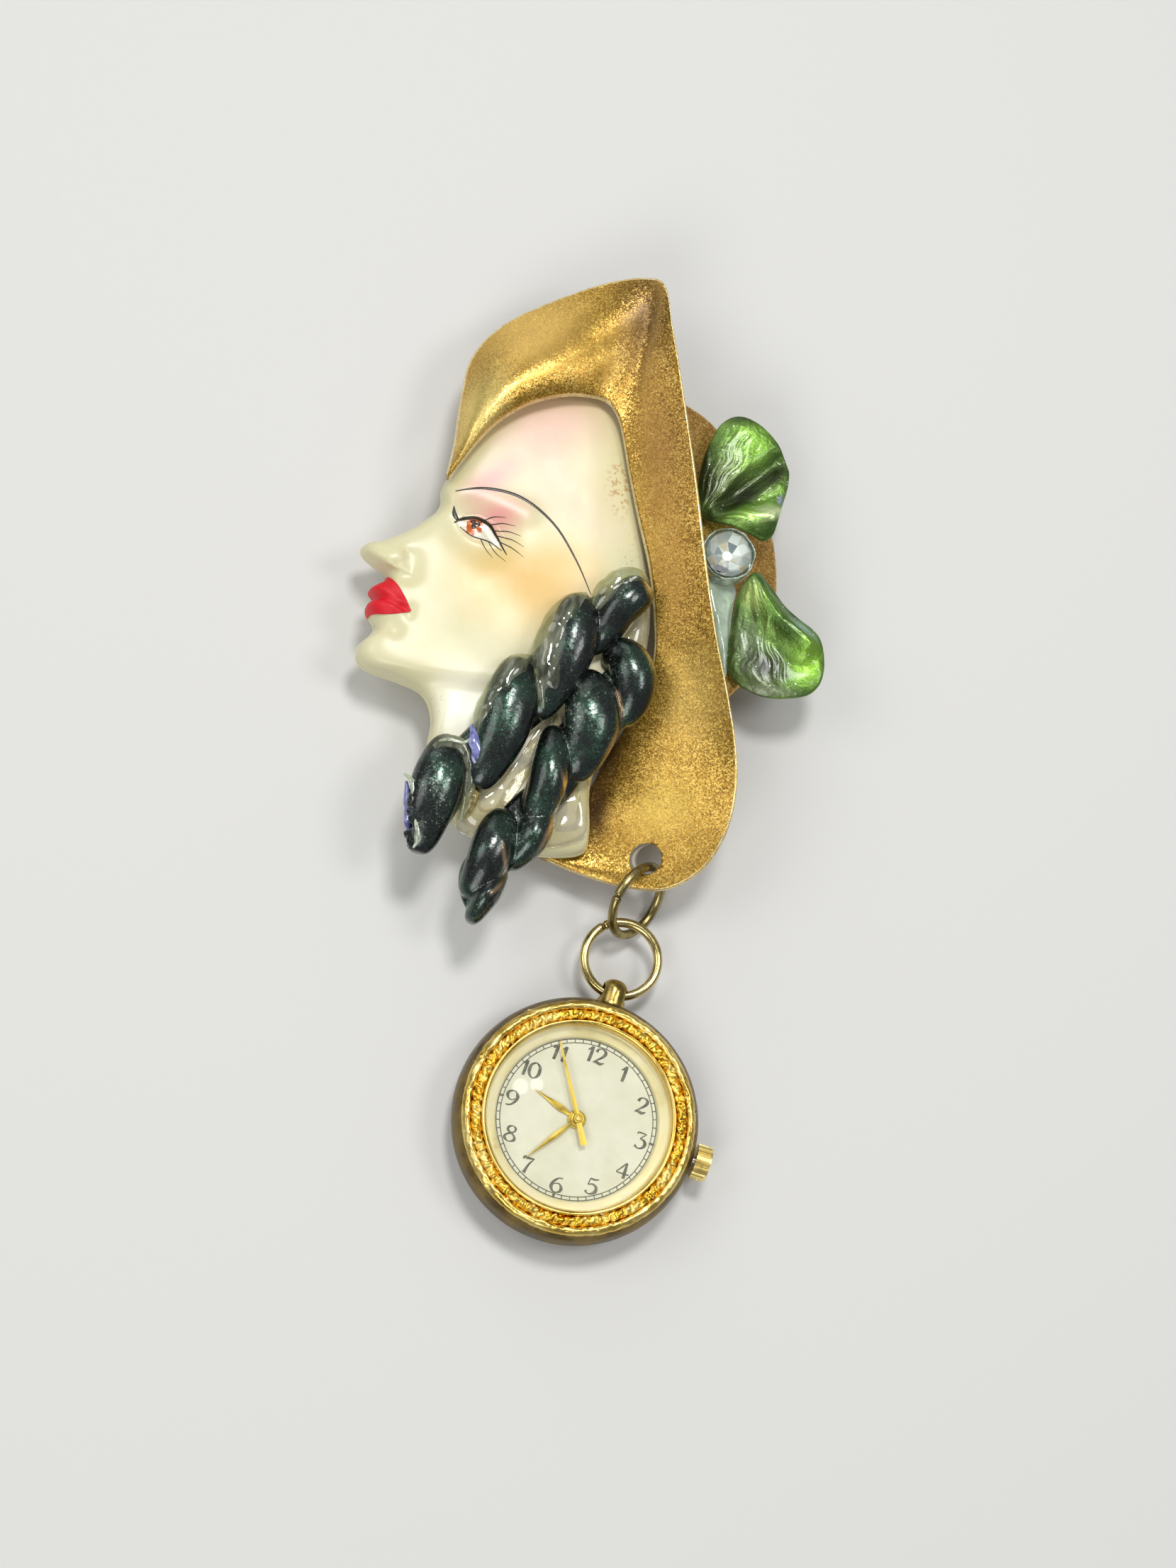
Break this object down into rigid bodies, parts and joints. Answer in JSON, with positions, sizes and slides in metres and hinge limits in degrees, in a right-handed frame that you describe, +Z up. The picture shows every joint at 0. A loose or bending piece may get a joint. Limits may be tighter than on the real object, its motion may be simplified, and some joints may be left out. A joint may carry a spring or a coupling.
{
  "type": "chatelaine watch pin",
  "caption": "Relief brooch of a head in profile under a wide turned hat, with twisted locks and a petal bow, carrying a small round pendant watch on linked rings.",
  "frame": {"origin": "centre of the bounding box in plan, on the surface the piece lies on", "axes": "+Y from the watch towards the top of the hat, +Z up out of the front, +X towards the bow"},
  "size_m": [0.0546, 0.1126, 0.0143],
  "materials": {
    "ivory_enamel": "glossy ivory paint on a cast resin relief",
    "gold_glitter_brim": "gold glitter paint on cast resin",
    "gold_glitter_crown": "gold glitter paint on cast resin, duller",
    "green_lacquer_upper": "metallic leaf green lacquer",
    "green_lacquer_lower": "metallic leaf green lacquer",
    "clear_glue_seat": "clear set glue",
    "clear_glue_strip": "clear set glue with a pale teal cast",
    "clear_stone": "faceted clear crystal",
    "dark_hair_front": "pearly green-black lacquer",
    "dark_hair_back": "pearly green-black lacquer",
    "nickel_pin": "plain nickel plate",
    "antique_bronze_ring": "dark antique bronze wire",
    "brass_ring": "worn pale brass wire",
    "gold_plate_case": "worn gold plate",
    "steel_back": "brushed steel",
    "movement_block": "plain works in one block",
    "cream_dial": "cream printed dial",
    "gold_plate_rope": "gold plated rope moulding",
    "watch_crystal": "clear flat crystal",
    "gilt_hour_hand": "gilt",
    "gilt_minute_hand": "gilt",
    "gilt_second_hand": "gilt",
    "steel_stem": "steel",
    "gold_plate_crown": "knurled gold plate"
  },
  "bodies": {
    "brooch_and_watch": {"face_and_neck": "ivory_enamel", "hat_brim": "gold_glitter_brim", "hat_crown": "gold_glitter_crown", "upper_petal": "green_lacquer_upper", "lower_petal": "green_lacquer_lower", "glue_seat": "clear_glue_seat", "glue_strip": "clear_glue_strip", "rhinestone": "clear_stone", "front_twist": "dark_hair_front", "back_twist": "dark_hair_back", "pin_back": "nickel_pin", "jump_ring": "antique_bronze_ring", "bail_ring": "brass_ring", "watch_case": "gold_plate_case", "case_back": "steel_back", "movement": "movement_block", "dial": "cream_dial", "rope_trim": "gold_plate_rope", "crystal": "watch_crystal"},
    "hour_hand": {"hour_hand": "gilt_hour_hand"},
    "minute_hand": {"minute_hand": "gilt_minute_hand"},
    "second_hand": {"second_hand": "gilt_second_hand"},
    "winding_stem": {"winding_stem": "steel_stem"},
    "winding_crown": {"winding_crown": "gold_plate_crown"}
  },
  "joints": [
    {"name": "minute_hand_turn", "type": "hinge", "parent": "brooch_and_watch", "child": "minute_hand", "pos_m": [-0.0013, -0.0422, 0.00552], "axis": [0, 0, -1], "continuous": true},
    {"name": "hour_hand_turn", "type": "hinge", "parent": "brooch_and_watch", "child": "hour_hand", "pos_m": [-0.0013, -0.0422, 0.0051], "axis": [0, 0, -1], "continuous": true},
    {"name": "second_hand_turn", "type": "hinge", "parent": "brooch_and_watch", "child": "second_hand", "pos_m": [-0.0013, -0.0422, 0.00588], "axis": [0, 0, -1], "continuous": true},
    {"name": "winding_stem_pull", "type": "slide", "parent": "brooch_and_watch", "child": "winding_stem", "axis": [0.9563, -0.2924, 0], "range_m": [0, 0.0008]},
    {"name": "winding_crown_turn", "type": "hinge", "parent": "winding_stem", "child": "winding_crown", "pos_m": [0.01304, -0.04659, 0.0034], "axis": [0.9563, -0.2924, 0], "continuous": true}
  ],
  "couplings": [
    {"joint": "hour_hand_turn", "follows": "minute_hand_turn", "ratio": 0.083333}
  ]
}
